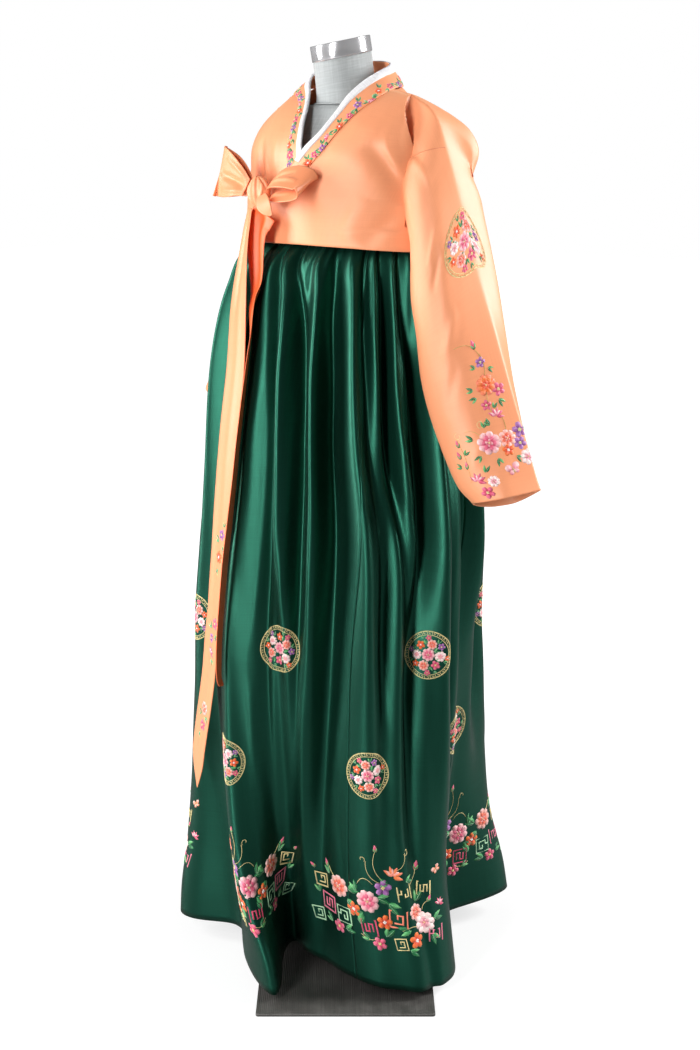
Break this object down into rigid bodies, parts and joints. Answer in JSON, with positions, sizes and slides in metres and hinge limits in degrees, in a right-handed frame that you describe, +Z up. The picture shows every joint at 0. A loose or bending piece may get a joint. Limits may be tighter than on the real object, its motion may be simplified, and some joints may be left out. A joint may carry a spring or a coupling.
{
  "type": "korean hanbok dress on a limbless dress form stand",
  "caption": "Two-piece wrapped dress: short crossed jacket with long sleeves and a hanging bow, over a full gathered skirt, worn by a limbless dress form on a flat base plate.",
  "frame": {"origin": "foot of the pole's axis, on the underside of the base plate", "axes": "+Z up the pole, -Y out of the garment's front, +X towards the wearer's left"},
  "size_m": [0.829, 0.6061, 1.5829],
  "materials": {
    "plate_steel": "dark grey finely ribbed steel",
    "pole_steel": "brushed steel",
    "form_linen": "grey linen weave",
    "cap_chrome": "polished chrome",
    "band_cotton": "plain cotton",
    "skirt_satin": "dark green shot satin",
    "jacket_satin": "peach orange satin",
    "strip_cotton": "white pressed cotton",
    "tie_satin": "pale peach satin"
  },
  "bodies": {
    "root": {"base_plate": "plate_steel", "pole_socket": "plate_steel", "pole": "pole_steel", "form_torso": "form_linen", "form_neck": "form_linen", "neck_cap": "cap_chrome", "skirt_band": "band_cotton", "skirt_front": "skirt_satin", "skirt_left": "skirt_satin", "skirt_right": "skirt_satin", "skirt_back_left": "skirt_satin", "skirt_back_right": "skirt_satin", "jacket_back": "jacket_satin", "jacket_front_left": "jacket_satin", "jacket_front_right": "jacket_satin", "sleeve_left": "jacket_satin", "sleeve_right": "jacket_satin", "collar": "jacket_satin", "collar_strip": "strip_cotton", "tie_tail_long": "tie_satin", "tie_tail_short": "tie_satin", "tie_loop_left": "tie_satin", "tie_loop_right": "tie_satin", "tie_end": "tie_satin", "tie_knot": "tie_satin"}
  },
  "joints": []
}
